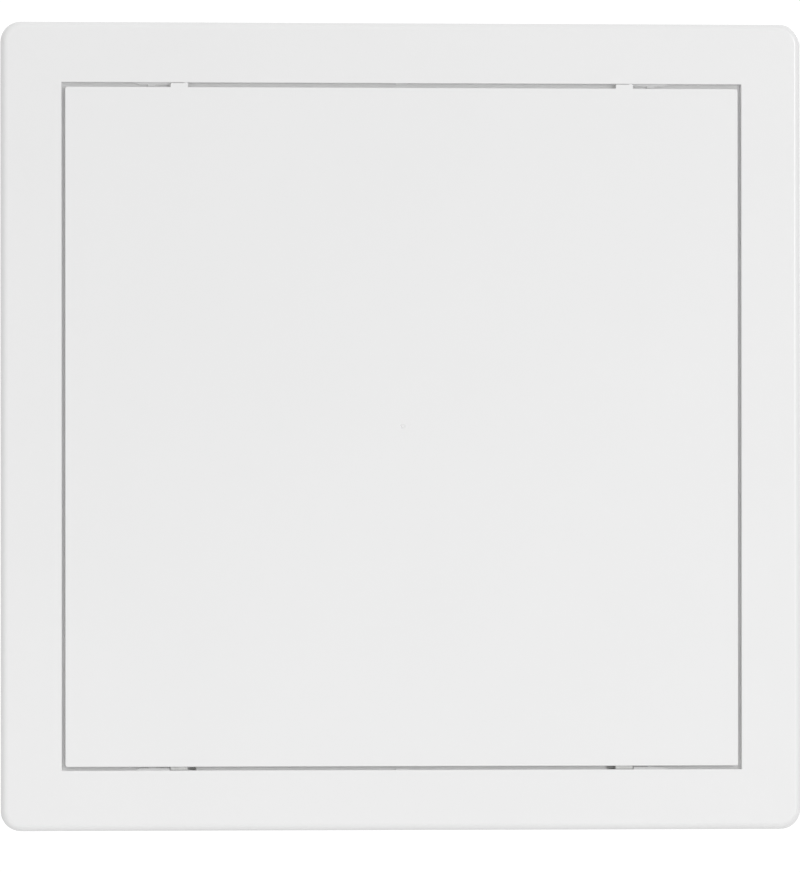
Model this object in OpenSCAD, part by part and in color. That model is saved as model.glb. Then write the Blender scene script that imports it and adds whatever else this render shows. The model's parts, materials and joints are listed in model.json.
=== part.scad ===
// Ceiling access panel: a flanged moulded frame with a flush hinged door and two sprung latch bolts.
// Millimetres. Drawn with x to the right, y up the face and z out of the face, then stood upright by place().
// The plane z = 0 is the surface that the flange lies against.

/* [Frame] */
// Width and height over the flange
panel_size = 318; // [300:1:360]
// Width of the flat border, from the outer edge to the door opening
border_w = 23.75; // [23.5:0.25:27]
// Height of the face above the ceiling
face_h = 4; // [3.6:0.1:5]
// Thickness of the border and of the door
skin_t = 2; // [1.8:0.1:2.3]
// Radius of the four outer corners
corner_r = 8; // [6:0.5:14]
// Radius of the rounded outer edge
edge_r = 2.5; // [1.5:0.1:3]
// Width of the lip that touches the ceiling
lip_t = 2; // [1.2:0.1:3]
// Distance from the outer edge to the collar
flange_overlap = 11; // [10.2:0.1:11.2]
// Radius of the edge round the door opening
open_edge_r = 0.3; // [0.2:0.05:1]
// Wall of the collar that goes through the ceiling
collar_t = 2.5; // [1.6:0.1:2.6]
// Depth of the collar behind the ceiling plane
collar_depth = 25; // [22:1:45]
// Corner radius of the collar
collar_r = 6; // [4:0.5:10]
// Wall around the door opening
wall_t = 1.8; // [1.4:0.1:2]
// Depth of the rebate behind the door, from the face
rebate_depth = 3.2; // [3:0.1:3.5]
// Thickness of the ledge in the rebate
ledge_t = 1.6; // [1.2:0.1:1.8]
// Depth of the stiffening webs behind the ceiling plane
web_depth = 8; // [4:0.5:12]
// Thickness of the stiffening webs
web_t = 2; // [1.2:0.1:2.4]
// Diameter of the fixing holes in the collar
fixing_d = 4.4; // [3.4:0.1:5.5]
// Distance between the two fixing holes of a side
fixing_pitch = 200; // [120:5:230]
// Depth of the fixing holes behind the ceiling plane
fixing_depth = 14; // [12:0.5:16]

/* [Door] */
// Gap between the door and the opening at the sides and the lower edge
gap = 1.4; // [1.3:0.05:1.8]
// Gap at the upper edge, where the door turns
hinge_gap = 1.75; // [1.5:0.05:2.2]
// Corner radius of the door
door_r = 1; // [0.6:0.1:3]
// Radius of the door's face edge
door_edge_r = 0.3; // [0.2:0.05:0.6]
// Height of the ribs and the skirt behind the door
rib_h = 3.8; // [2.4:0.1:3.9]
// Thickness of the ribs
rib_t = 1.6; // [1.2:0.1:2]
// Distance from the door edge back to the skirt
skirt_inset = 1.5; // [1.4:0.1:2]
// Radius of the ring that the moulding gate leaves on the face
gate_r = 0.75; // [0.6:0.05:2]
// Depth of that ring
gate_h = 0.3; // [0.1:0.05:0.4]

/* [Hinge and latch] */
// Distance of each tab from the side edge of the door
tab_inset = 45.25; // [43:0.05:50]
// Width of each tab
tab_w = 6.8; // [6:0.1:7.4]
// Length of the small blocks beside the tabs
block_l = 14; // [8:0.5:18]
// How far those blocks reach into the gap
block_out = 0.85; // [0.6:0.05:1]
// Length of the slanted far end of each block
block_slant = 2; // [1:0.25:4]
// Width of the bump in the middle of each block
bump_w = 3; // [2:0.1:4]
// Width of the door stop in the middle of an edge
stop_w = 5; // [3:0.5:10]
// How far the stop's rib reaches into the gap
stop_out = 0.5; // [0.3:0.05:0.8]
// Diameter of the hinge pin
pin_d = 2.5; // [2:0.1:2.6]
// Radius of the hinge knuckle
knuckle_r = 2.3; // [2.1:0.05:2.4]
// Free travel of a latch bolt
bolt_travel = 3; // [2.8:0.1:3.6]
// How far the latch nose reaches past its tab
nose_l = 2.6; // [2:0.1:2.8]
// Length of the latch spring at rest
spring_l = 14.5; // [13:0.5:18]
// Mean radius of the latch spring
coil_r = 2; // [1.8:0.05:2.2]
// Radius of the spring wire
wire_r = 0.28; // [0.2:0.02:0.32]
// Turns of the latch spring
coil_turns = 6; // [5:1:6]

/* [Hidden] */
$fn = 96;
// Clearances: between pieces, at the narrowest seams, round a turning pin and round a screw
clear = 0.3;
seam = 0.15;
run_fit = 0.05;
screw_fit = 0.2;
// How far a cutting shape reaches past what it cuts, and a joined one into what carries it
past = 1;
bite = 0.5;
half = panel_size / 2;
core = half - corner_r;
back_z = face_h - skin_t;
open_half = half - border_w;
door_half = open_half - gap;
door_top = open_half - hinge_gap;
collar_half = half - flange_overlap;
collar_in = collar_half - collar_t;
skirt_out = door_half - skirt_inset;
skirt_in = skirt_out - wall_t;
rib_z = back_z - rib_h;
ledge_top = face_h - rebate_depth;
ledge_back = ledge_top - ledge_t;
ledge_in = skirt_out + clear + seam;
// The hinge line lies far enough outside the opening for the door edge to clear the border as it swings
hinge_back = skin_t + knuckle_r + clear;
sweep_r = 8;
hinge_up_min = 5.4;
edge_room = pow(skin_t, 2) + 2 * skin_t * (knuckle_r + clear) - pow(hinge_gap, 2) + 2 * sweep_r * clear;
hinge_up = max(hinge_up_min, edge_room / (2 * hinge_gap));
hinge_y = open_half + hinge_up;
hinge_z = face_h - hinge_back;
edge_sweep = sqrt(pow(hinge_up, 2) + pow(hinge_back, 2)) + seam;
tab_tip = hinge_y - sqrt(pow(edge_sweep, 2) - pow(hinge_back, 2));
tab_x = door_half - tab_inset;
tab_in = tab_x - tab_w / 2;
tab_out = tab_x + tab_w / 2;
block_x = tab_out + clear;
block_drop = 0.2;
block_top = back_z - block_drop;
pin_r = pin_d / 2;
pin_head_t = 0.9;
pin_head_rim = 0.75;
pin_seat_l = 8.7;
pin_end = block_x + pin_seat_l;
saddle_l = 20.7;
cap_t = 3;
cap_fit = 0.2;
cap_grip = 1.5;
cap_screw_in = 15;
cap_screw_x = block_x + cap_screw_in;
cap_screw_y = (open_half + wall_t + collar_in) / 2;
arm_room = 0.4;
foot_top = hinge_z - hinge_up - arm_room;
foot_t = 3;
foot_l = 21.4;
foot_pitch = 6.8;
foot_screw_y = [hinge_y - foot_l + foot_pitch, hinge_y - foot_l];
arm_grip = 6;
boss_r = 3;
screw_r = 1.1;
head_r = 2.1;
head_h = 1.5;
head_round = 0.8;
recess_r = 1.3;
recess_w = 0.6;
recess_d = 0.8;
// Latch, drawn on the lower edge
bolt_front = back_z - clear;
bolt_t = 5.7;
bolt_back = bolt_front - bolt_t;
bolt_low = -(skirt_in - 2 * clear);
bolt_w = 6;
bolt_high = bolt_low + bolt_w;
bolt_mid = (bolt_low + bolt_high) / 2;
neck_tip = -(open_half - seam);
nose_front = ledge_back - clear;
nose_t = 2.5;
nose_bevel = 1.5;
nose_edge = 0.4;
nose_heel = 1.2;
neck_back = nose_front - nose_t;
pocket_z = neck_back - clear;
pocket_t = 1.4;
slot_x = tab_in - bolt_travel - 2 * clear;
bolt_head = 3;
bolt_end = tab_out + bolt_head;
bolt_tail = 7.2;
bolt_start = tab_in - bolt_tail;
peg_l = 4;
peg_fit = 0.32;
peg_r = coil_r - wire_r - peg_fit;
spring_mid = (bolt_front + bolt_back) / 2;
spring_wall = bolt_start - spring_l;
cover_z = bolt_back - clear;
cover_t = 1.8;
cover_grip = 4.4;
lug_r = bolt_w / 2 + clear;
side_t = 1.8;
lug_wall = 2;
lug_l = boss_r + lug_wall;
housing_screw_x = [spring_wall - side_t - lug_l, bolt_end + clear + side_t + lug_l];
web_x = [-0.924, -0.43, 0, 0.43, 0.924] * open_half;
rib_x = [-0.882, -0.337, 0, 0.337, 0.882] * skirt_in;
rib_y = [-0.644, -0.322, 0, 0.322, 0.644] * skirt_in;
mould_white = [0.92, 0.92, 0.92];
acetal_white = [0.86, 0.86, 0.84];
steel = [0.62, 0.63, 0.65];

// Helpers

module place() {
  rotate([90, 0, 0]) children();
}

// Draws its children on the right and mirrored on the left
module both_sides() {
  children();
  mirror([1, 0, 0]) children();
}

// A box given by its two opposite corners
module box(low, high) {
  translate(low) cube(high - low);
}

// A slab between two heights
module slab(low, high) {
  translate([0, 0, low]) linear_extrude(high - low) children();
}

module plain_square(side_half) {
  square(2 * side_half, center = true);
}

module round_square(side_half, r) {
  square([2 * side_half, 2 * (side_half - r)], center = true);
  square([2 * (side_half - r), 2 * side_half], center = true);
  for (sx = [-1, 1], sy = [-1, 1]) {
    translate([sx * (side_half - r), sy * (side_half - r)]) circle(r = r);
  }
}

// Runs a section along the sides of a rectangle and turns it round the corners;
// the section is measured outward from the corner centres
module run_round(core_w, core_h) {
  for (turn = [0:3]) {
    out = turn % 2 == 0 ? core_w : core_h;
    along = turn % 2 == 0 ? core_h : core_w;
    rotate(90 * turn) translate([out, along, 0]) {
      rotate([90, 0, 0]) linear_extrude(2 * along) children();
      rotate_extrude(angle = 90) children();
    }
  }
}

// Section of a plate's outer edge with its face corner rounded to r
module round_edge(w, low, high, r) {
  translate([0, low]) square([w - r, high - low]);
  translate([0, low]) square([w, high - low - r]);
  translate([w - r, high - r]) intersection() {
    circle(r = r);
    square(r);
  }
}

// A rod along x
module rod(x0, x1, y, z, r) {
  translate([x0, y, z]) rotate([0, 90, 0]) cylinder(r = r, h = x1 - x0);
}

// Hole that a screw cuts its thread into, from z = 0 up, with a little room at its tip
module screw_hole(grip) {
  translate([0, 0, -past]) cylinder(r = screw_r, h = past + grip + screw_fit);
}

// Hole through a piece of thickness t that a screw passes freely
module screw_passage(t) {
  translate([0, 0, -past]) cylinder(r = screw_r + screw_fit, h = t + 2 * past);
}

// Frame

// Section of the door opening, flared to a rounded edge at the face
module opening_section() {
  translate([-open_half, back_z - past]) square([2 * open_half, skin_t + 2 * past]);
  difference() {
    translate([-open_half - open_edge_r, face_h - open_edge_r])
      square([2 * (open_half + open_edge_r), open_edge_r + past]);
    for (side = [-1, 1]) {
      translate([side * (open_half + open_edge_r), face_h - open_edge_r]) circle(r = open_edge_r);
    }
  }
}

// Flat border with a rounded outer edge and a lip that meets the ceiling
module border_skin() {
  run_round(core, core) difference() {
    round_edge(corner_r, 0, face_h, edge_r);
    translate([-past, -past]) square([corner_r - lip_t + past, back_z + past]);
  }
  difference() {
    slab(back_z, face_h) plain_square(core);
    intersection() {
      rotate([90, 0, 0]) linear_extrude(2 * half, center = true) opening_section();
      rotate([90, 0, 90]) linear_extrude(2 * half, center = true) opening_section();
    }
  }
}

// Wall round the opening, turned in to a ledge behind the edge of the door
module opening_wall() {
  slab(ledge_back, back_z) difference() {
    plain_square(open_half + wall_t);
    plain_square(open_half);
  }
  slab(ledge_back, ledge_top) difference() {
    plain_square(open_half);
    plain_square(ledge_in);
  }
}

// Pocket behind the lower ledge for the nose of a latch bolt, open towards the door
module strike_pocket() {
  low_y = -open_half - wall_t;
  pocket_end = tab_out + nose_l + 2 * clear;
  pocket_back = pocket_z - pocket_t;
  box([slot_x - pocket_t, low_y, pocket_back], [pocket_end + pocket_t, -ledge_in, pocket_z]);
  box([slot_x - pocket_t, low_y, pocket_z], [pocket_end + pocket_t, -open_half, ledge_back]);
  for (x = [slot_x - pocket_t, pocket_end]) {
    box([x, low_y, pocket_z], [x + pocket_t, -ledge_in, ledge_back]);
  }
}

module collar() {
  slab(-collar_depth, back_z) difference() {
    round_square(collar_half, collar_r);
    round_square(collar_in, collar_r - collar_t);
  }
}

// Stiffening webs from the opening wall out to the collar, deeper at the collar
module webs() {
  wall_y = open_half + wall_t;
  for (turn = [0:3]) {
    rotate(90 * turn) for (x = web_x) {
      translate([x - web_t / 2, 0, 0]) rotate([90, 0, 90]) linear_extrude(web_t)
        polygon([[wall_y, back_z], [wall_y, ledge_back], [collar_in, -web_depth], [collar_in, back_z]]);
    }
  }
}

// Small block in the gap beside a tab, slanted at its far end, with a bump that nearly meets the door
module gap_block(edge_gap) {
  bump_x = block_x + (block_l - bump_w) / 2;
  slab(ledge_back, block_top) polygon([
    [block_x, open_half - block_out], [block_x + block_l - block_slant, open_half - block_out],
    [block_x + block_l, open_half], [block_x + block_l, open_half + wall_t], [block_x, open_half + wall_t]]);
  box([bump_x, open_half - edge_gap + seam, ledge_back], [bump_x + bump_w, open_half, block_top - clear]);
}

// Block behind the border with half of the seat for the hinge pin
module hinge_seat() {
  box([block_x, open_half + wall_t, hinge_z], [block_x + saddle_l, collar_in, back_z]);
}

// Stop in the middle of an edge: a rib down the opening wall and a pad on the ledge under the door's edge
module door_stop(door_edge) {
  box([-stop_w / 2, open_half - stop_out, ledge_back], [stop_w / 2, open_half + wall_t, back_z - clear]);
  box([-stop_w / 2, ledge_in, ledge_back], [stop_w / 2, door_edge - clear, back_z - clear]);
}

module fixing_holes() {
  for (turn = [0:3], sx = [-1, 1]) {
    rotate(90 * turn) translate([sx * fixing_pitch / 2, collar_half + past, -fixing_depth])
      rotate([90, 0, 0]) cylinder(d = fixing_d, h = collar_t + 2 * past);
  }
}

module frame() {
  color(mould_white) place() difference() {
    union() {
      border_skin();
      opening_wall();
      collar();
      webs();
      door_stop(door_top);
      mirror([0, 1, 0]) door_stop(door_half);
      both_sides() {
        gap_block(hinge_gap);
        mirror([0, 1, 0]) gap_block(gap);
        hinge_seat();
        strike_pocket();
      }
    }
    fixing_holes();
    both_sides() {
      // Room for the hinge arm to swing through the opening wall
      box([tab_in - arm_room, ledge_in - past, ledge_back - past], [block_x, open_half + wall_t, back_z]);
      // Slot in the lower ledge for the neck of the latch bolt
      box([slot_x, -open_half, ledge_back], [block_x, -ledge_in + past, ledge_top + past]);
      rod(block_x - past, pin_end, hinge_y, hinge_z, pin_r);
      translate([cap_screw_x, cap_screw_y, hinge_z]) screw_hole(cap_grip);
    }
  }
}

// Hinge

module hinge_pin_right() {
  color(steel) place() {
    rod(tab_in - clear, pin_end, hinge_y, hinge_z, pin_r);
    rod(tab_in - clear - pin_head_t, tab_in - clear, hinge_y, hinge_z, pin_r + pin_head_rim);
  }
}

module hinge_pin_left() {
  mirror([1, 0, 0]) hinge_pin_right();
}

// Cap that traps the pin in its seat
module hinge_cap_right() {
  color(mould_white) place() difference() {
    box([block_x, open_half + wall_t + cap_fit, hinge_z - cap_t],
        [block_x + saddle_l, collar_in - cap_fit, hinge_z]);
    rod(block_x - past, pin_end, hinge_y, hinge_z, pin_r);
    translate([cap_screw_x, cap_screw_y, hinge_z - cap_t]) screw_passage(cap_t);
  }
}

module hinge_cap_left() {
  mirror([1, 0, 0]) hinge_cap_right();
}

// Pan-head screw standing on z = 0 with its point up; the cross recess is in the head
module screw(shank_l) {
  difference() {
    union() {
      mirror([0, 0, 1]) rotate_extrude() round_edge(head_r, 0, head_h, head_round);
      translate([0, 0, -screw_fit / 2]) cylinder(r = screw_r, h = shank_l + screw_fit / 2);
    }
    for (a = [0, 90]) {
      rotate(a) box([-recess_r, -recess_w / 2, -head_h - past], [recess_r, recess_w / 2, recess_d - head_h]);
    }
  }
}

module hinge_cap_screws() {
  color(steel) place() both_sides() {
    translate([cap_screw_x, cap_screw_y, hinge_z - cap_t]) screw(cap_t + cap_grip);
  }
}

// Bent arm: a knuckle on the pin, a bar to the back with a round bend and a round-ended foot on the door
module hinge_arm_right() {
  foot_back = foot_top - foot_t;
  bend_z = foot_back + knuckle_r;
  color(acetal_white) place() difference() {
    union() {
      rod(tab_in, tab_out, hinge_y, hinge_z, knuckle_r);
      box([tab_in, hinge_y - knuckle_r, bend_z], [tab_out, hinge_y + knuckle_r, hinge_z]);
      rod(tab_in, tab_out, hinge_y, bend_z, knuckle_r);
      box([tab_in, foot_screw_y[1], foot_back], [tab_out, hinge_y, foot_top]);
      translate([tab_x, foot_screw_y[1], foot_back]) cylinder(d = tab_w, h = foot_t);
    }
    rod(tab_in - past, tab_out + past, hinge_y, hinge_z, pin_r + run_fit);
    for (y = foot_screw_y) {
      translate([tab_x, y, foot_top - foot_t]) screw_passage(foot_t);
    }
  }
}

module hinge_arm_left() {
  mirror([1, 0, 0]) hinge_arm_right();
}

module hinge_arm_screws() {
  color(steel) place() both_sides() for (y = foot_screw_y) {
    translate([tab_x, y, foot_top - foot_t]) screw(foot_t + arm_grip);
  }
}

// Door

// Flush tab whose underside is hollowed to an arc about the hinge line, so that it swings past the border
module flush_tab() {
  difference() {
    box([tab_in, door_top - past, back_z], [tab_out, tab_tip, face_h]);
    rod(tab_in - past, tab_out + past, hinge_y, hinge_z, edge_sweep);
  }
}

// Flat face of the door; its upper edge leaves room to turn
module door_skin() {
  core_w = door_half - door_r;
  core_h = (door_half + door_top) / 2 - door_r;
  translate([0, (door_top - door_half) / 2, 0]) {
    run_round(core_w, core_h) round_edge(door_r, back_z, face_h, door_edge_r);
    slab(back_z, face_h) square([2 * core_w, 2 * core_h], center = true);
  }
}

module ribs() {
  for (x = rib_x) {
    box([x - rib_t / 2, -skirt_in - bite, rib_z], [x + rib_t / 2, skirt_in + bite, back_z]);
  }
  for (y = rib_y) {
    box([-skirt_in - bite, y - rib_t / 2, rib_z], [skirt_in + bite, y + rib_t / 2, back_z]);
  }
}

module boss(x, y, low) {
  translate([x, y, low]) cylinder(r = boss_r, h = back_z - low);
}

module door() {
  color(mould_white) place() difference() {
    union() {
      door_skin();
      slab(rib_z, back_z) difference() {
        plain_square(skirt_out);
        plain_square(skirt_in);
      }
      ribs();
      both_sides() {
        flush_tab();
        for (y = foot_screw_y) {
          boss(tab_x, y, foot_top);
        }
        for (x = housing_screw_x) {
          boss(x, bolt_mid, cover_z);
        }
      }
    }
    translate([0, 0, face_h]) rotate_extrude() translate([gate_r, 0]) circle(r = gate_h);
    both_sides() {
      box([slot_x, -skirt_out - past, rib_z - past], [bolt_end + clear, -skirt_in, back_z]);
      for (y = foot_screw_y) {
        translate([tab_x, y, foot_top]) screw_hole(arm_grip);
      }
      for (x = housing_screw_x) {
        translate([x, bolt_mid, cover_z]) screw_hole(cover_grip);
      }
    }
  }
}

// Latch

// Sliding bolt: a guided body, a neck that crosses the gap and a bevelled nose behind the frame's ledge
module latch_bolt_right() {
  color(acetal_white) place() {
    box([bolt_start, bolt_low, bolt_back], [bolt_end, bolt_high, bolt_front]);
    box([tab_in, neck_tip, neck_back], [tab_out, bolt_low, bolt_front]);
    rod(bolt_start - peg_l, bolt_start, bolt_mid, spring_mid, peg_r);
    translate([0, neck_tip, 0]) mirror([0, 1, 0]) rotate([90, 0, 0]) linear_extrude(bolt_low - neck_tip)
      polygon([[tab_out, nose_front], [tab_out + nose_l, nose_front - nose_bevel],
               [tab_out + nose_l, nose_front - nose_bevel - nose_edge], [tab_out + nose_heel, neck_back],
               [tab_out, neck_back]]);
  }
}

module latch_bolt_left() {
  mirror([1, 0, 0]) latch_bolt_right();
}

// Cover with a round lug at each end, an upper guide wall, a spring wall and an end stop
module latch_housing_right() {
  color(mould_white) place() difference() {
    union() {
      slab(cover_z - cover_t, cover_z) {
        translate([housing_screw_x[0], bolt_mid - lug_r])
          square([housing_screw_x[1] - housing_screw_x[0], 2 * lug_r]);
        for (x = housing_screw_x) {
          translate([x, bolt_mid]) circle(r = lug_r);
        }
      }
      box([spring_wall - side_t, bolt_low - clear, cover_z - cover_t],
          [bolt_end + clear + side_t, bolt_high + clear + side_t, cover_z]);
      box([spring_wall - side_t, bolt_high + clear, cover_z],
          [bolt_end + clear + side_t, bolt_high + clear + side_t, back_z]);
      box([spring_wall - side_t, bolt_low - clear, cover_z],
          [spring_wall, bolt_high + clear + side_t, back_z]);
      box([bolt_end + clear, bolt_low - clear, cover_z],
          [bolt_end + clear + side_t, bolt_high + clear + side_t, back_z]);
    }
    for (x = housing_screw_x) {
      translate([x, bolt_mid, cover_z - cover_t]) screw_passage(cover_t);
    }
  }
}

module latch_housing_left() {
  mirror([1, 0, 0]) latch_housing_right();
}

module latch_housing_screws() {
  color(steel) place() both_sides() for (x = housing_screw_x) {
    translate([x, bolt_mid, cover_z - cover_t]) screw(cover_t + cover_grip);
  }
}

// Coil spring: the end turns lie flat, the turns between rise evenly
coil_steps = 20 * coil_turns;
function coil_rise(s) = s < 0.75 ? 0 : s > coil_turns - 0.75 ? 1 : (s - 0.75) / (coil_turns - 1.5);
function coil_x(i) = spring_wall + wire_r + (spring_l - 2 * wire_r) * coil_rise(i * coil_turns / coil_steps);
coil_points = [for (i = [0:coil_steps], k = [0:7])
  let (a = 360 * i * coil_turns / coil_steps, b = 45 * k, r = coil_r + wire_r * cos(b))
  [coil_x(i) + wire_r * sin(b), bolt_mid + r * cos(a), spring_mid + r * sin(a)]];
coil_sides = [for (i = [0:coil_steps - 1], k = [0:7])
  [8 * i + k, 8 * i + (k + 1) % 8, 8 * i + 8 + (k + 1) % 8, 8 * i + 8 + k]];
coil_start = [for (k = [7:-1:0]) k];
coil_finish = [for (k = [0:7]) 8 * coil_steps + k];

module latch_spring_right() {
  color(steel) place()
    polyhedron(points = coil_points, faces = concat([coil_start], coil_sides, [coil_finish]));
}

module latch_spring_left() {
  mirror([1, 0, 0]) latch_spring_right();
}

frame();
hinge_cap_left();
hinge_cap_right();
hinge_cap_screws();
hinge_pin_left();
hinge_pin_right();
door();
hinge_arm_left();
hinge_arm_right();
hinge_arm_screws();
latch_housing_left();
latch_housing_right();
latch_housing_screws();
latch_spring_left();
latch_spring_right();
latch_bolt_left();
latch_bolt_right();
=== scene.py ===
# %% [markdown]
# # A ceiling access panel, dressed around its solids
# The panel is a white moulded frame with a flush door. The door turns on two pins behind its upper edge,
# and two small sprung bolts at its lower edge hold it shut. The solids already carry every true size, so
# this lesson leaves their shape alone. It gives them the finish of the real materials, winds the two latch
# springs as real wire, and sets up the plain white studio in which such a panel is photographed.

# %% Load the solids
import json
import math

import bpy
from mathutils import Matrix, Vector


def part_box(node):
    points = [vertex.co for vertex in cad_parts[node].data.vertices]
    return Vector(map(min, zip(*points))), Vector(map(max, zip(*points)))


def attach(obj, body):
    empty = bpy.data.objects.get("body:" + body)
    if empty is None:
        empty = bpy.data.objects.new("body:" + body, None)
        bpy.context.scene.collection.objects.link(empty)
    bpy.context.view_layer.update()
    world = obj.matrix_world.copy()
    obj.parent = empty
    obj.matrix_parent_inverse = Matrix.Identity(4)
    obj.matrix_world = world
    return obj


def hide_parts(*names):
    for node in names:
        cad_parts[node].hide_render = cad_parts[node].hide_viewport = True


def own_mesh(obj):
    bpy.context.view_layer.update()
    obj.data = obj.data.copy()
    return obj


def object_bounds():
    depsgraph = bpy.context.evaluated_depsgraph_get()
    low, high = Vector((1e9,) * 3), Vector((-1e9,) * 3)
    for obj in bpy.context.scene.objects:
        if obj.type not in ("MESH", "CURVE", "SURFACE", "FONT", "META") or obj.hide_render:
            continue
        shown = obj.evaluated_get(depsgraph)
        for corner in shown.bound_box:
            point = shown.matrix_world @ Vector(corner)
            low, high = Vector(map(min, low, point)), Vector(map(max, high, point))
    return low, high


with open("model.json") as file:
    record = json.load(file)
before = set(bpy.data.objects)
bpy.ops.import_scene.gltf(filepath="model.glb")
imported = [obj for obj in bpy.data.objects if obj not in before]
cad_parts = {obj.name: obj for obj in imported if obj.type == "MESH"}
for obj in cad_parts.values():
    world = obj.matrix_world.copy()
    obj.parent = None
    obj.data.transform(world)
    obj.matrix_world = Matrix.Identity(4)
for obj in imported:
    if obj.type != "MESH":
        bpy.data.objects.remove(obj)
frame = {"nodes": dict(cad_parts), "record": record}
cad_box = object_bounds()
solids = frame["nodes"]
MM = 0.001
scene = bpy.context.scene
print(len(solids), "solids span", [round(v / MM, 1) for v in cad_box[1] - cad_box[0]], "mm")

# %% [markdown]
# ## Helpers for shader nodes
# Colours are easiest to read as the hex values of a paint program, but a shader wants linear light, so one
# function turns the one into the other. Another adds a node, sets its values and links its inputs. The last
# two open a material and close it, and what makes it special goes between them.


# %% Colours, nodes and materials
def linear(hex_colour):
    """Turns an sRGB hex colour into the linear red, green, blue and alpha of a socket."""
    parts = [int(hex_colour[i:i + 2], 16) / 255 for i in (1, 3, 5)]
    return [c / 12.92 if c <= 0.04045 else ((c + 0.055) / 1.055) ** 2.4 for c in parts] + [1.0]


def add_node(tree, kind, links=None, values=None, **settings):
    """Adds a node, sets its properties and input values, and links outputs of earlier nodes to its inputs."""
    node = tree.nodes.new(kind)
    for name, value in settings.items():
        setattr(node, name, value)
    for socket, value in (values or {}).items():
        node.inputs[socket].default_value = value
    for socket, source in (links or {}).items():
        tree.links.new(source, node.inputs[socket])
    return node


def new_material(name):
    """A material with an empty node tree, and that tree."""
    material = bpy.data.materials.new(name)
    material.use_nodes = True
    material.node_tree.nodes.clear()
    return material, material.node_tree


def finish_material(material, tree, shader):
    """Adds the output node of the material and links the shader to it."""
    add_node(tree, "ShaderNodeOutputMaterial", {"Surface": shader.outputs["BSDF"]})
    print("material:", material.name)
    return material


# %% [markdown]
# ## Noise, and what it drives
# No real surface is the same all over. A soft noise gives every point of a solid a share between 0 and 1,
# and that share then mixes two colours or sets how rough the point is. The size of the noise is given in
# millimetres, so it can be read against the real thing.


# %% Noise
def place_on_solid(tree):
    """Where a point lies on its own solid, in metres."""
    return add_node(tree, "ShaderNodeTexCoord").outputs["Object"]


def noise(tree, place, size_mm, layers):
    """A share that changes softly over the given length; each further layer adds finer changes to it."""
    node = add_node(tree, "ShaderNodeTexNoise", {"Vector": place},
                    {"Scale": 1 / (size_mm * MM), "Detail": layers})
    return node.outputs["Fac"]


def mix_colours(tree, share, first, second):
    """A colour that goes from the first hex colour to the second as the share goes from 0 to 1."""
    node = add_node(tree, "ShaderNodeMix", {"Factor": share},
                    {"A": linear(first), "B": linear(second)}, data_type="RGBA")
    return node.outputs["Result"]


def vary(tree, share, low, high):
    """A number that goes from low to high as the share goes from 0 to 1."""
    node = add_node(tree, "ShaderNodeMapRange", {"Value": share}, {"To Min": low, "To Max": high})
    return node.outputs["Result"]


# %% [markdown]
# ## White ABS, injection moulded
# The frame, the door and the covers are ABS, shot into a steel mould with a fine satin grain. The eye sees
# an even off-white with a broad, soft gloss. The grain of such a mould is finer than a pixel here, so it is
# drawn at 0.6 mm and only two thousandths of a millimetre deep; the same grain makes the gloss uneven by a
# little. A much larger and fainter wave in the white stands for the way the melt flowed and cooled as it
# filled the thin plate.

# %% Moulded ABS
ABS_WHITE, ABS_FLOW_WHITE = "#EFEFEF", "#EDEDED"
ABS_IOR = 1.53
ABS_ROUGHNESS, ABS_GLOSS_SPREAD = 0.24, 0.03
GRAIN_MM, GRAIN_DEPTH_MM, GRAIN_LAYERS = 0.6, 0.002, 1
FLOW_MARK_MM, FLOW_LAYERS = 70, 2


def moulded_abs():
    """Off-white ABS with a satin grain and faint flow marks."""
    material, tree = new_material("ABS_injection_moulded_white")
    place = place_on_solid(tree)
    grain = noise(tree, place, GRAIN_MM, GRAIN_LAYERS)
    flow = noise(tree, place, FLOW_MARK_MM, FLOW_LAYERS)
    white = mix_colours(tree, flow, ABS_FLOW_WHITE, ABS_WHITE)
    gloss = vary(tree, grain, ABS_ROUGHNESS - ABS_GLOSS_SPREAD, ABS_ROUGHNESS + ABS_GLOSS_SPREAD)
    bump = add_node(tree, "ShaderNodeBump", {"Height": grain}, {"Distance": GRAIN_DEPTH_MM * MM})
    shader = add_node(tree, "ShaderNodeBsdfPrincipled",
                      {"Base Color": white, "Roughness": gloss, "Normal": bump.outputs["Normal"]},
                      {"IOR": ABS_IOR})
    return finish_material(material, tree, shader)


abs_white = moulded_abs()

# %% [markdown]
# ## Natural acetal
# Arms and bolts slide and turn on other parts, so they are acetal, a slippery plastic that needs no oil. It
# is left in its natural milky white, a touch lighter than the ABS, and light goes a little way into it. As
# it sets from hot to cold the milk comes out in faint clouds. Its faces keep the fine lines of the cutter
# that made the mould: a noise that is stretched along X, the way the bolts slide, draws them.

# %% Acetal
ACETAL_MILK, ACETAL_CLOUD = "#F4F4F3", "#EEEEEC"
ACETAL_IOR = 1.48
ACETAL_ROUGHNESS, ACETAL_GLOSS_SPREAD = 0.36, 0.06
# Red, green and blue go equally far into the plastic
ACETAL_GLOW, ACETAL_GLOW_MM, EVEN_GLOW = 0.15, 0.4, (1, 1, 1)
CLOUD_MM, CLOUD_LAYERS = 3.0, 3
CUTTER_LINE_MM, CUTTER_DEPTH_MM, CUTTER_LAYERS = 0.25, 0.002, 1
LINE_STRETCH = 20


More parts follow.
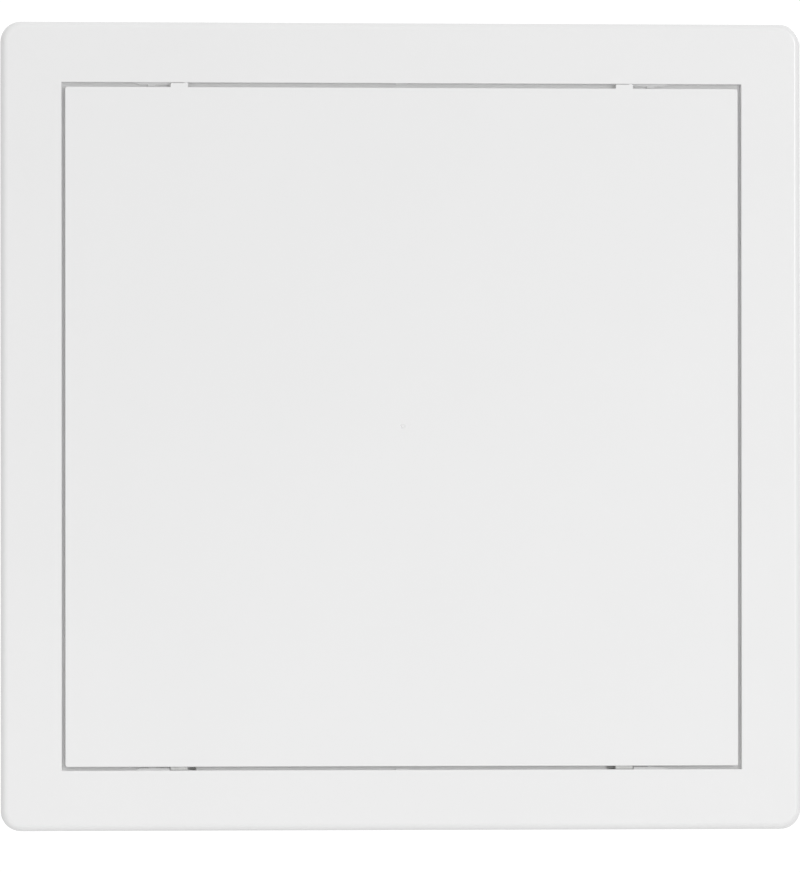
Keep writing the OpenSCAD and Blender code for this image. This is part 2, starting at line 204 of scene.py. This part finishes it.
def natural_acetal():
    """Milky acetal with faint clouds and the lines of the mould's cutter."""
    material, tree = new_material("acetal_moulded_natural")
    place = place_on_solid(tree)
    cloud = noise(tree, place, CLOUD_MM, CLOUD_LAYERS)
    milk = mix_colours(tree, cloud, ACETAL_CLOUD, ACETAL_MILK)
    stretch = add_node(tree, "ShaderNodeMapping", {"Vector": place}, {"Scale": (1 / LINE_STRETCH, 1, 1)})
    lines = noise(tree, stretch.outputs["Vector"], CUTTER_LINE_MM, CUTTER_LAYERS)
    gloss = vary(tree, lines, ACETAL_ROUGHNESS - ACETAL_GLOSS_SPREAD, ACETAL_ROUGHNESS + ACETAL_GLOSS_SPREAD)
    bump = add_node(tree, "ShaderNodeBump", {"Height": lines}, {"Distance": CUTTER_DEPTH_MM * MM})
    shader = add_node(tree, "ShaderNodeBsdfPrincipled",
                      {"Base Color": milk, "Roughness": gloss, "Normal": bump.outputs["Normal"]},
                      {"IOR": ACETAL_IOR, "Subsurface Weight": ACETAL_GLOW, "Subsurface Radius": EVEN_GLOW,
                       "Subsurface Scale": ACETAL_GLOW_MM * MM})
    return finish_material(material, tree, shader)


acetal = natural_acetal()

# %% [markdown]
# ## Zinc-plated steel and spring wire
# Screws and pins are steel under a thin bright coat of zinc, which is never quite even: a cloudy change of
# tone and gloss about 2 mm across tells it from plain chrome. The springs are drawn wire, darker and dulled
# here and there by the oil of the drawing die, in flecks about as long as the wire is thick.

# %% Metals
ZINC_GREY, ZINC_DULL = "#C8CBCF", "#B4B7BC"
ZINC_CLOUD_MM = 2.0
ZINC_ROUGHNESS = (0.22, 0.38)
WIRE_GREY, WIRE_OILED = "#A6A8AB", "#85878B"
OIL_FLECK_MM = 0.5
WIRE_ROUGHNESS = (0.22, 0.36)
PATCH_LAYERS = 2


def patchy_metal(name, bright, dull, patch_mm, roughness):
    """A metal whose tone and gloss change together, in soft patches of one size, from bright to dull."""
    material, tree = new_material(name)
    patch = noise(tree, place_on_solid(tree), patch_mm, PATCH_LAYERS)
    tone = mix_colours(tree, patch, bright, dull)
    gloss = vary(tree, patch, *roughness)
    shader = add_node(tree, "ShaderNodeBsdfPrincipled", {"Base Color": tone, "Roughness": gloss},
                      {"Metallic": 1.0})
    return finish_material(material, tree, shader)


zinc_steel = patchy_metal("steel_zinc_plated", ZINC_GREY, ZINC_DULL, ZINC_CLOUD_MM, ZINC_ROUGHNESS)
spring_wire = patchy_metal("spring_steel_drawn_wire", WIRE_GREY, WIRE_OILED, OIL_FLECK_MM, WIRE_ROUGHNESS)

# %% [markdown]
# ## Give each solid its material
# The record names a material slot for every node, so the finish can be looked up instead of listed again.

# %% Dress the solids
finishes = {"white_moulding": abs_white, "acetal": acetal, "plated_steel": zinc_steel,
            "spring_steel": spring_wire}
slot_of = {part["node"]: part["material_slot"] for part in frame["record"]["subparts"]}
for name, solid in solids.items():
    solid.data.materials.clear()
    solid.data.materials.append(finishes[slot_of[name]])
print("dressed", len(solids), "solids")

# %% [markdown]
# ## Wind the latch springs
# A coil spring is one piece of round wire. The solid has an eight-sided stand-in that can't get shorter, so a
# smooth coil takes its place: a curve along the helix, given the thickness of the wire and turned to a mesh.
# The first and the last three quarters of a turn lie flat against their seats.

# %% Wire along a helix
WIRE_R = 0.28 * MM
WIRE_SMOOTHNESS = 3
TURNS = 6
FLAT_TURNS = 0.75
POINTS_PER_TURN = 32


def helix_points(low, high):
    """Points along the wire's middle between two ends on X, inside a box given by its corners."""
    middle = (low + high) / 2
    coil_r = (high.z - low.z) / 2 - WIRE_R
    start, length = low.x + WIRE_R, high.x - low.x - 2 * WIRE_R
    for i in range(TURNS * POINTS_PER_TURN + 1):
        turn = i / POINTS_PER_TURN
        rise = min(1, max(0, (turn - FLAT_TURNS) / (TURNS - 2 * FLAT_TURNS)))
        angle = 2 * math.pi * turn
        yield Vector((start + length * rise, middle.y + coil_r * math.cos(angle),
                      middle.z + coil_r * math.sin(angle)))


def wire_mesh(name, path):
    """A smooth mesh of round wire with closed ends along a list of points."""
    curve = bpy.data.curves.new(name, "CURVE")
    curve.dimensions = "3D"
    curve.bevel_depth = WIRE_R
    curve.bevel_resolution = WIRE_SMOOTHNESS
    curve.use_fill_caps = True
    spline = curve.splines.new("POLY")
    spline.points.add(len(path) - 1)
    for point, place in zip(spline.points, path):
        point.co = (*place, 1)
    wire = bpy.data.objects.new(name, curve)
    scene.collection.objects.link(wire)
    bpy.context.view_layer.update()
    mesh = bpy.data.meshes.new_from_object(wire.evaluated_get(bpy.context.evaluated_depsgraph_get()))
    bpy.data.objects.remove(wire)
    mesh.shade_smooth()
    return mesh


# %% [markdown]
# ## Put the coils on the door
# When a bolt is pushed back, its coil has to shorten with it, but here the coil keeps its length. The coil
# rides on the door, like the solid it replaces.


# %% Coil springs
def wind_spring(side, wall_end):
    """Puts a coil in the place of one spring's solid; wall_end picks an end on X, which is not used."""
    low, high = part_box("latch_spring_" + side)
    mesh = wire_mesh("coil_path_" + side, list(helix_points(low, high)))
    mesh.materials.clear()
    mesh.materials.append(spring_wire)
    coil = bpy.data.objects.new("latch_coil_" + side, mesh)
    scene.collection.objects.link(coil)
    anchor = (high if wall_end == "high" else low).copy()
    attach(coil, "door")
    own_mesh(coil)
    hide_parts("latch_spring_" + side)


wind_spring("left", "high")
wind_spring("right", "low")

# %% [markdown]
# ## The white studio
# The panel is shot in a white tent with a large soft box behind the camera. Most light comes from the front
# and from above, less from the two sides and least from the left, and the wall behind is blown out to pure
# white. A world that changes softly with direction does all of that without a single visible lamp. The light
# in the middle plane is what gets down to the bottom of the narrow gap round the door, so that the gap is
# grey and not black.

# %% World
TENT_WHITE = "#FFFFFF"
LEFT_LEVEL, MIDDLE_LEVEL, RIGHT_LEVEL = 0.36, 0.66, 0.46
MIDDLE_STOP = 0.5
LOW_GAIN, HIGH_GAIN = 0.95, 1.5
FRONT_GAIN = 0.345
FRONT_STARTS, FRONT_FULL = 0.35, 0.95
BACK_LEVEL = 1.06
BACK_STARTS, BACK_FULL = 0.93, 0.975


def side_levels(tree, across):
    """The light from left to right, as a ramp over a direction's X from -1 to 1."""
    share = add_node(tree, "ShaderNodeMapRange", {"Value": across}, {"From Min": -1.0, "From Max": 1.0})
    ramp = add_node(tree, "ShaderNodeValToRGB", {"Fac": share.outputs["Result"]})
    stops = ramp.color_ramp.elements
    # A new ramp has a stop at each end only
    stops.new(MIDDLE_STOP)
    for stop, level in zip(stops, (LEFT_LEVEL, MIDDLE_LEVEL, RIGHT_LEVEL)):
        stop.color = (level, level, level, 1)
    return ramp.outputs["Color"]


def tent_level(tree):
    """How bright the tent is in each direction: sides times height, plus the front, and the wall behind."""
    toward = add_node(tree, "ShaderNodeTexCoord").outputs["Generated"]
    axes = add_node(tree, "ShaderNodeSeparateXYZ", {"Vector": toward})
    sides = side_levels(tree, axes.outputs["X"])
    heights = add_node(tree, "ShaderNodeMapRange", {"Value": axes.outputs["Z"]},
                       {"From Min": -1.0, "From Max": 1.0, "To Min": LOW_GAIN, "To Max": HIGH_GAIN})
    front = add_node(tree, "ShaderNodeMapRange", {"Value": axes.outputs["Y"]},
                     {"From Min": -FRONT_STARTS, "From Max": -FRONT_FULL, "To Max": FRONT_GAIN},
                     interpolation_type="SMOOTHSTEP")
    behind = add_node(tree, "ShaderNodeMapRange", {"Value": axes.outputs["Y"]},
                      {"From Min": BACK_STARTS, "From Max": BACK_FULL}, interpolation_type="SMOOTHSTEP")
    lit = add_node(tree, "ShaderNodeMath",
                   {0: sides, 1: heights.outputs["Result"], 2: front.outputs["Result"]},
                   operation="MULTIPLY_ADD")
    level = add_node(tree, "ShaderNodeMix", {"Factor": behind.outputs["Result"], "A": lit.outputs["Value"]},
                     {"B": BACK_LEVEL})
    return level.outputs["Result"]


def white_tent():
    """Makes the tent the world of the scene."""
    world = bpy.data.worlds.new("white_tent")
    scene.world = world
    world.use_nodes = True
    tree = world.node_tree
    tree.nodes.clear()
    light = add_node(tree, "ShaderNodeBackground", {"Strength": tent_level(tree)},
                     {"Color": linear(TENT_WHITE)})
    add_node(tree, "ShaderNodeOutputWorld", {"Surface": light.outputs["Background"]})
    print("tent from", LEFT_LEVEL, "on the left to", RIGHT_LEVEL, "on the right")


white_tent()

# %% [markdown]
# ## The floor
# A plain pale floor lies well below the panel, because the panel hangs from its own mount.

# %% Floor
FLOOR_DROP = 0.30
FLOOR_SIZE = 12
FLOOR_PAINT, FLOOR_ROUGHNESS = "#E2E2E2", 0.8


def pale_floor():
    """A square of painted floor."""
    half = FLOOR_SIZE / 2
    height = cad_box[0].z - FLOOR_DROP
    corners = [(-half, -half), (half, -half), (half, half), (-half, half)]
    mesh = bpy.data.meshes.new("floor")
    mesh.from_pydata([(x, y, height) for x, y in corners], [], [(0, 1, 2, 3)])
    floor = bpy.data.objects.new("floor", mesh)
    scene.collection.objects.link(floor)
    material, tree = new_material("painted_floor_pale")
    shader = add_node(tree, "ShaderNodeBsdfPrincipled", None,
                      {"Base Color": linear(FLOOR_PAINT), "Roughness": FLOOR_ROUGHNESS})
    mesh.materials.append(finish_material(material, tree, shader))


pale_floor()
print("floor", round(FLOOR_DROP / MM), "mm below the panel")

# %% [markdown]
# ## Three soft lamps
# A tent alone makes rounded edges fade away, so three lamps that the camera can't see draw the shape. A
# narrow, far strip on the right is mirrored only where the edge turns that way, and gives the upper half
# of the frame's right side its thin bright line. A white card in front of the panel and below it throws a
# little light back up, into the lower border. The third stands behind the panel and makes the ribs and the
# hinges readable from there.

# %% Lamps
# Places, sizes and aims are in metres, beams in degrees
LAMPS = {"edge_strip": {"place": (1.615, -3.9, 0.40), "size": (0.1, 0.84), "watts": 17.9},
         "card_below": {"place": (-0.2, -0.5, -0.40), "size": (0.9, 0.12), "watts": 0.06, "beam": 60,
                        "aim": (0, 0, -0.15)},
         "back_lamp": {"place": (1.5, 1.4, 0.9), "size": (0.9, 0.9), "watts": 12.0}}
FULL_BEAM = 180
PANEL_MIDDLE = (0, 0, 0)


def soft_lamp(name, place, size, watts, beam=FULL_BEAM, aim=PANEL_MIDDLE):
    """A rectangular lamp that looks at the panel; its size is what makes the light soft."""
    data = bpy.data.lights.new(name, "AREA")
    data.shape = "RECTANGLE"
    data.size, data.size_y = size
    data.energy = watts
    data.spread = math.radians(beam)
    lamp = bpy.data.objects.new(name, data)
    lamp.location = place
    lamp.rotation_euler = (Vector(aim) - lamp.location).to_track_quat("-Z", "Y").to_euler()
    lamp.visible_camera = False
    scene.collection.objects.link(lamp)


for lamp_name, lamp in LAMPS.items():
    soft_lamp(lamp_name, **lamp)
    print(lamp_name, lamp["watts"], "W")

# %% [markdown]
# ## The camera
# The picture is almost square on, from a little to the left and a little below, through a long lens: the
# left side of the panel is under one per cent taller than the right. The angles and the distance were
# found from the slopes of the four outer edges and the widths of the border.

# %% Camera
YAW, PITCH, ROLL = math.radians(8.1), math.radians(0.5), math.radians(-0.04)
DISTANCE = 6.15
AIM = Vector((-0.0005, 0, -0.0037))
# The sensor's width in mm stands for the longer side of the picture, which is its height in pixels
SENSOR = 36
IMAGE_H = 872
FOCAL_PX = 15600
# In metres, well past the far end of the floor
FAR_CLIP = 100


def photo_camera():
    """Puts a camera where the photo was taken and makes it the scene's own."""
    data = bpy.data.cameras.new("photo_camera")
    data.sensor_width = SENSOR
    data.lens = FOCAL_PX * SENSOR / IMAGE_H
    data.clip_end = FAR_CLIP
    back = Vector((-math.sin(YAW) * math.cos(PITCH), -math.cos(YAW) * math.cos(PITCH), -math.sin(PITCH)))
    camera = bpy.data.objects.new("photo_camera", data)
    turn = (-back).to_track_quat("-Z", "Y").to_matrix().to_4x4()
    camera.matrix_world = Matrix.Translation(AIM + back * DISTANCE) @ turn @ Matrix.Rotation(ROLL, 4, "Z")
    scene.collection.objects.link(camera)
    scene.camera = camera
    print("lens", round(data.lens), "mm at", DISTANCE, "m")


photo_camera()
scene.view_settings.view_transform = "Standard"
